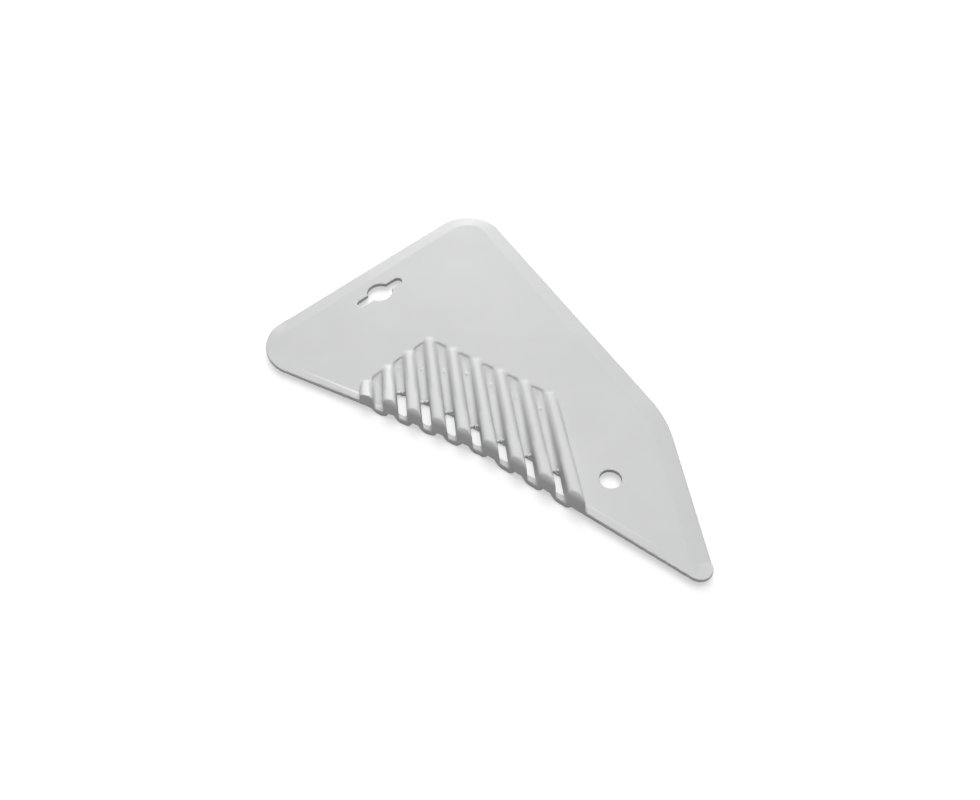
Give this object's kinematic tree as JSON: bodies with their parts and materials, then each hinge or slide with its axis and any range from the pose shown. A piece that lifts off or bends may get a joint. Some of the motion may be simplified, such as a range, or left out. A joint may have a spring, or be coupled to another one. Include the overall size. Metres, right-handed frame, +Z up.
{
  "type": "wallpaper smoothing spatula",
  "caption": "Flat plastic smoothing spatula with a thinned working lip round three edges, a slanted corrugated grip on its back edge, a display slot and a round hang hole.",
  "frame": {"origin": "below the middle of the tool's bounding box, at the height of the lowest rib", "axes": "+X along the tool from heel corner to tip, +Y from the back edge to the top corner, +Z up from the blade"},
  "size_m": [0.25, 0.155, 0.0133],
  "materials": {
    "moulded_plastic": "satin, fine moulded texture"
  },
  "bodies": {
    "root": {"blade": "moulded_plastic", "short_edge_lip": "moulded_plastic", "top_corner_lip": "moulded_plastic", "long_edge_lip": "moulded_plastic", "shoulder_lip": "moulded_plastic", "tip_edge_lip": "moulded_plastic", "heel_rim": "moulded_plastic", "tip_rim": "moulded_plastic", "upper_rib_1": "moulded_plastic", "upper_rib_2": "moulded_plastic", "upper_rib_3": "moulded_plastic", "upper_rib_4": "moulded_plastic", "upper_rib_5": "moulded_plastic", "upper_rib_6": "moulded_plastic", "upper_rib_7": "moulded_plastic", "upper_rib_8": "moulded_plastic", "upper_rib_9": "moulded_plastic", "lower_rib_1": "moulded_plastic", "lower_rib_2": "moulded_plastic", "lower_rib_3": "moulded_plastic", "lower_rib_4": "moulded_plastic", "lower_rib_5": "moulded_plastic", "lower_rib_6": "moulded_plastic", "lower_rib_7": "moulded_plastic", "lower_rib_8": "moulded_plastic"}
  },
  "joints": []
}
